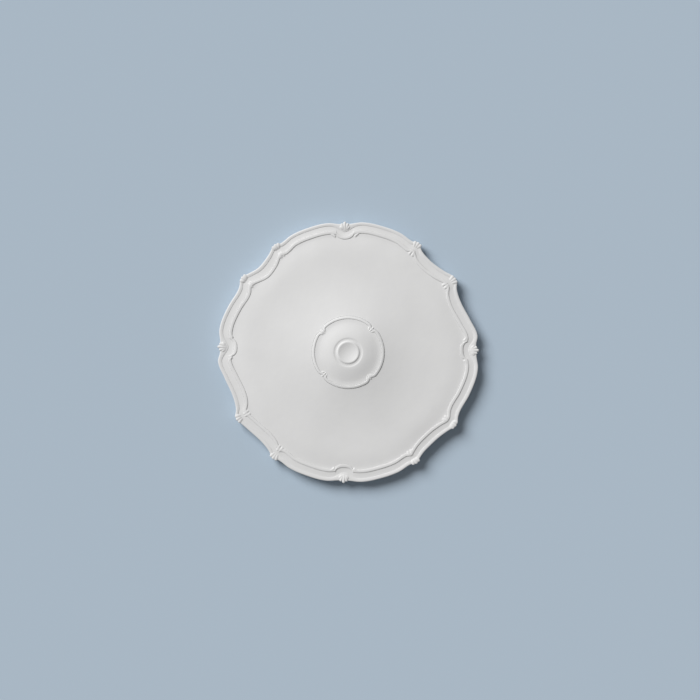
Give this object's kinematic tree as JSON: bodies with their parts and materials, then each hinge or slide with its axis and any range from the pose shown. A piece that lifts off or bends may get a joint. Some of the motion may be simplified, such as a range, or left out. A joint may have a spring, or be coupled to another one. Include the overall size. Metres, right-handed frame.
{
  "type": "ceiling rose",
  "caption": "Round moulded ceiling rose: a scalloped rococo frame with beads, crowned cartouches and leaf knots, a plain swelling field and a stepped boss with a small dish.",
  "frame": {"origin": "centre of the flat back, the face that is glued to the ceiling", "axes": "+Z out of the decorated face, +Y to the crowned cartouche at the top of the picture, +X to the one at its right. The rose lies on its back, as the picture looks straight at its face; on a ceiling it is turned over, so that +Z points down into the room."},
  "size_m": [0.6987, 0.6987, 0.0609],
  "materials": {
    "primed_white": "dense moulded foam with a smooth matt white primer"
  },
  "bodies": {
    "root": {"ceiling_rose": "primed_white"}
  },
  "joints": []
}
